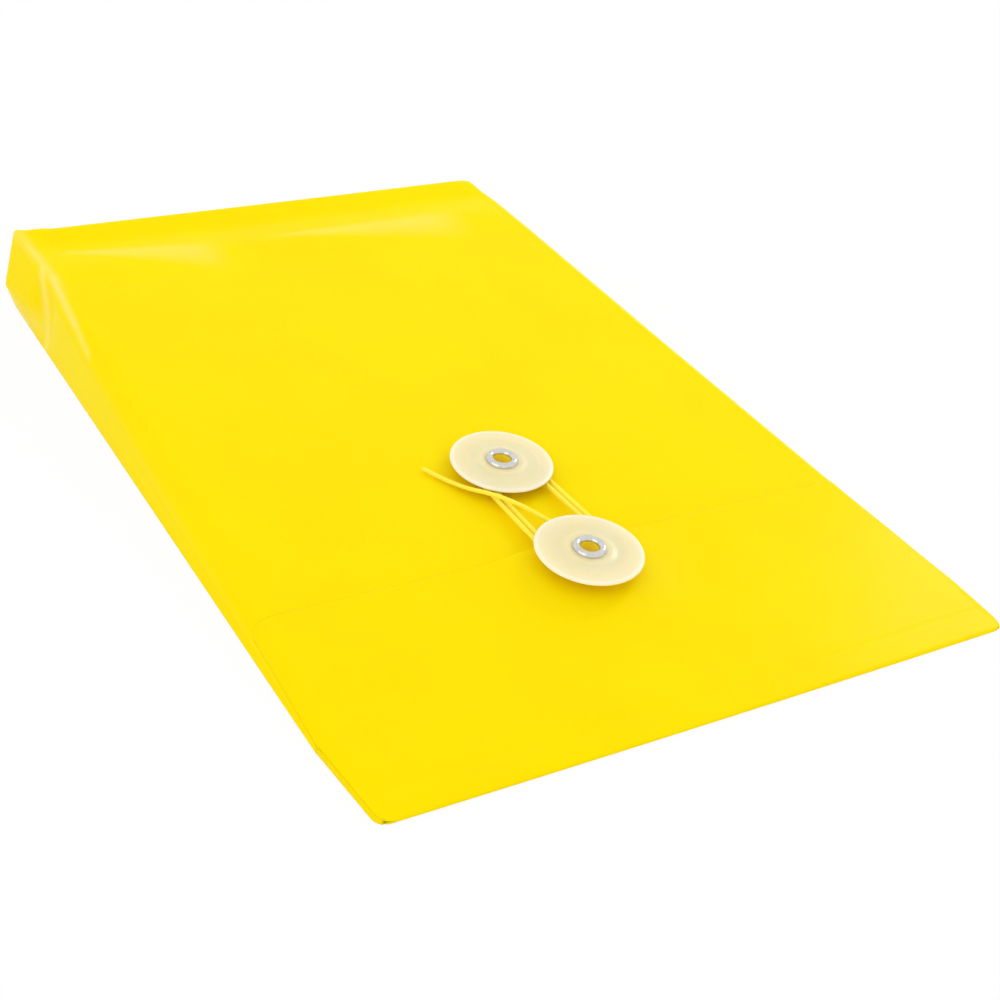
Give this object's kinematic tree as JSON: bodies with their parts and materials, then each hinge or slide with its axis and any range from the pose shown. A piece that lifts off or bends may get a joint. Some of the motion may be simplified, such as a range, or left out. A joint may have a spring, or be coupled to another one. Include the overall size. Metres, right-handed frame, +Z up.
{
  "type": "string tie envelope",
  "caption": "Translucent plastic open-end envelope with an expanding bottom, a fold-over flap and a string wound round two turning discs to hold it shut.",
  "frame": {"origin": "on the table under the middle of the envelope as it lies on its back", "axes": "+Y along the length from the flap fold to the closed end, +X across the width, +Z up from the table"},
  "size_m": [0.1588, 0.235, 0.0218],
  "materials": {
    "yellow_sheet": "satin translucent sheet",
    "milky_disc": "milky translucent moulding",
    "nickel": "bright nickel plate",
    "string": "soft twisted string"
  },
  "bodies": {
    "back": {"back_panel": "yellow_sheet", "bottom_wall": "yellow_sheet", "left_gusset": "yellow_sheet", "right_gusset": "yellow_sheet", "left_pleat": "yellow_sheet", "right_pleat": "yellow_sheet", "flap_bend": "yellow_sheet"},
    "front": {"front_panel": "yellow_sheet", "body_eyelet": "nickel", "body_washer": "nickel", "tie_string": "string"},
    "body_button": {"body_disc": "milky_disc"},
    "flap": {"flap_panel": "yellow_sheet", "flap_eyelet": "nickel", "flap_washer": "nickel"},
    "flap_button": {"flap_disc": "milky_disc"}
  },
  "joints": [
    {"name": "flap_fold", "type": "hinge", "parent": "back", "child": "flap", "pos_m": [0, -0.11622, 0.00126], "axis": [1, 0, 0], "range_deg": [0, 174.77], "deforming": ["flap_bend", "tie_string"]},
    {"name": "mouth_gape", "type": "hinge", "parent": "back", "child": "front", "pos_m": [0, 0.11547, 0.01981], "axis": [-1, 0, 0], "range_deg": [0, 5.23]},
    {"name": "flap_disc_spin", "type": "hinge", "parent": "flap", "child": "flap_button", "pos_m": [0, -0.06606, 0.00711], "axis": [0, -0.0911, 0.9958], "continuous": true},
    {"name": "body_disc_spin", "type": "hinge", "parent": "front", "child": "body_button", "pos_m": [0, -0.02745, 0.00873], "axis": [0, -0.0911, 0.9958], "continuous": true}
  ],
  "couplings": [
    {"joint": "mouth_gape", "follows": "flap_fold", "ratio": 0.029924}
  ]
}
